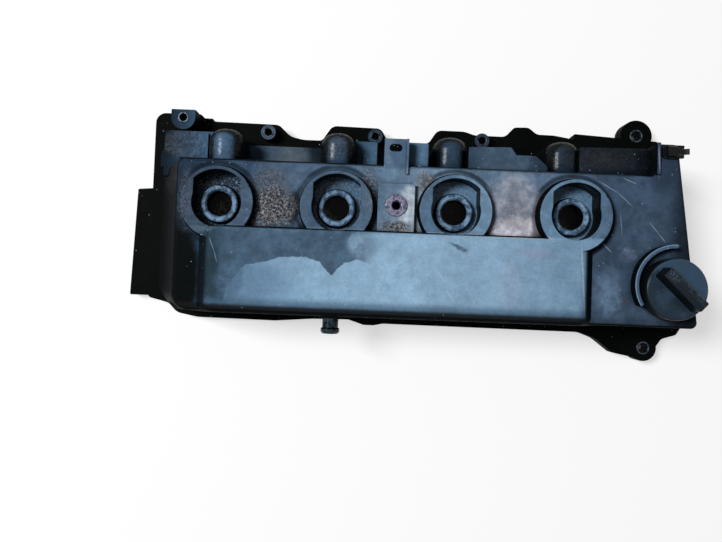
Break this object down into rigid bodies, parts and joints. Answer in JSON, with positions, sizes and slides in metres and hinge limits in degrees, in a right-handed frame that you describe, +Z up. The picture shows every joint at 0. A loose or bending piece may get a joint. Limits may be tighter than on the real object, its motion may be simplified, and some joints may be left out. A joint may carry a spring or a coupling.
{
  "type": "engine valve cover",
  "caption": "Moulded plastic valve cover of a four-cylinder engine with injector wells, rubber seals, oil separator and screw-on filler cap.",
  "frame": {"origin": "middle of the row of wells on the joint face of the cylinder head", "axes": "+X along the row of wells towards the oil filler, +Y to the back, +Z up, away from the head"},
  "size_m": [0.5028, 0.2191, 0.094],
  "materials": {
    "nylon": "moulded glass-filled nylon, oily and dusty",
    "nylon_plain": "moulded glass-filled nylon",
    "cap_plastic": "moulded nylon, satin",
    "clip_plastic": "moulded nylon",
    "rubber": "moulded rubber",
    "sleeve_steel": "turned steel, dirty",
    "insert_metal": "turned brass, stained",
    "screw_steel": "zinc-plated steel",
    "stub_metal": "formed steel tube, dark and oily"
  },
  "bodies": {
    "cover": {"cover_body": "nylon", "perimeter_gasket": "rubber", "well_seal_1": "rubber", "well_seal_2": "rubber", "well_seal_3": "rubber", "well_seal_4": "rubber", "back_sleeve_1": "sleeve_steel", "back_sleeve_2": "sleeve_steel", "back_sleeve_3": "sleeve_steel", "left_boss_sleeve": "sleeve_steel", "back_lug_sleeve": "sleeve_steel", "front_lug_sleeve": "sleeve_steel", "centre_insert": "insert_metal", "separator_plate": "nylon_plain", "plate_screws": "screw_steel", "hose_stub": "stub_metal", "harness_clip": "clip_plastic", "clip_strap": "clip_plastic"},
    "cap_seal": {"cap_gasket": "rubber"},
    "cap": {"filler_cap": "cap_plastic"}
  },
  "joints": [
    {"name": "cap_lift", "type": "slide", "parent": "cover", "child": "cap_seal", "axis": [0, 0, 1], "range_m": [0, 0.00875]},
    {"name": "cap_turn", "type": "hinge", "parent": "cap_seal", "child": "cap", "pos_m": [0.2223, -0.0561, 0.0745], "axis": [0, 0, 1], "range_deg": [0, 630]}
  ],
  "couplings": [
    {"joint": "cap_lift", "follows": "cap_turn", "m_per_rad": 0.00079577}
  ]
}
